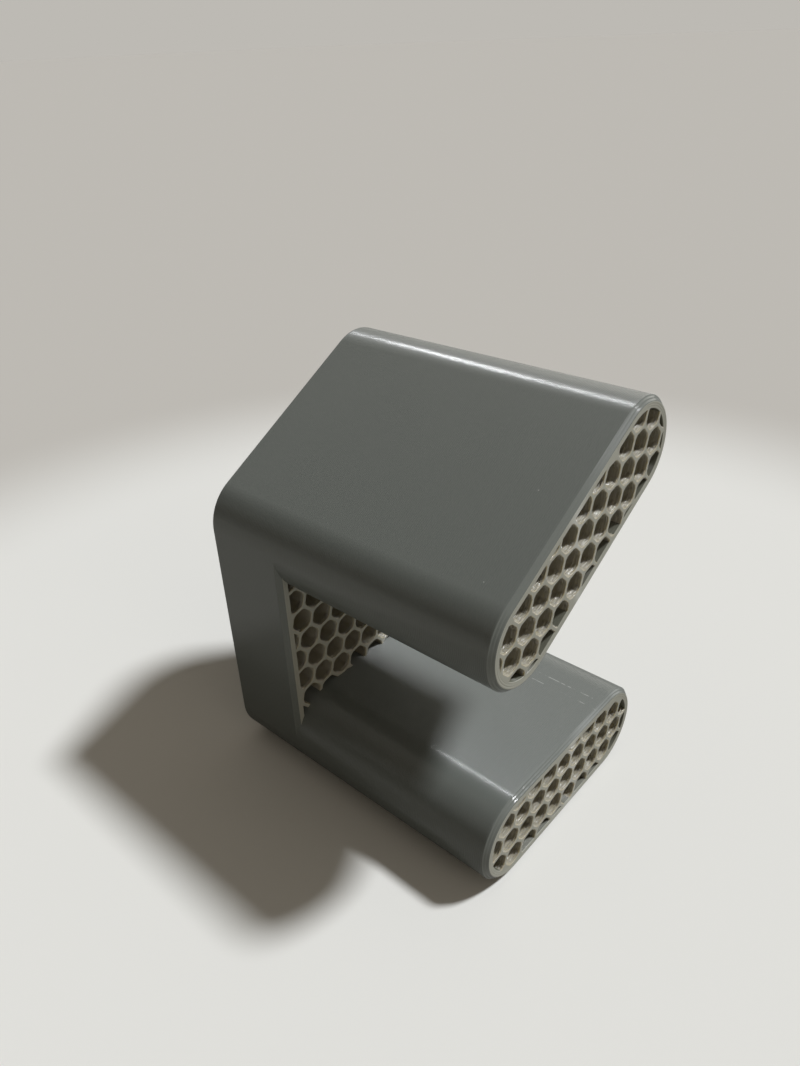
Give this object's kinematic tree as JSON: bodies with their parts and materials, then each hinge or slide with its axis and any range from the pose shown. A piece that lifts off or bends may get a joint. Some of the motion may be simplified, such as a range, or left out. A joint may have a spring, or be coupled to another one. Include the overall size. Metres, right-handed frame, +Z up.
{
  "type": "watch stand",
  "caption": "C-shaped watch stand: a sloping rounded bar for the strapped-on watch and a flat foot bar reach sideways out of a side plate, with open honeycomb at the ends.",
  "frame": {"origin": "on the floor, in the middle of the footprint", "axes": "+X along the bars from the side plate to their free ends, +Y from the low front to the high back, +Z up"},
  "size_m": [0.0688, 0.054, 0.0861],
  "materials": {
    "printed_plastic": "satin grey filament with fine layer lines"
  },
  "bodies": {
    "root": {"stand": "printed_plastic"}
  },
  "joints": []
}
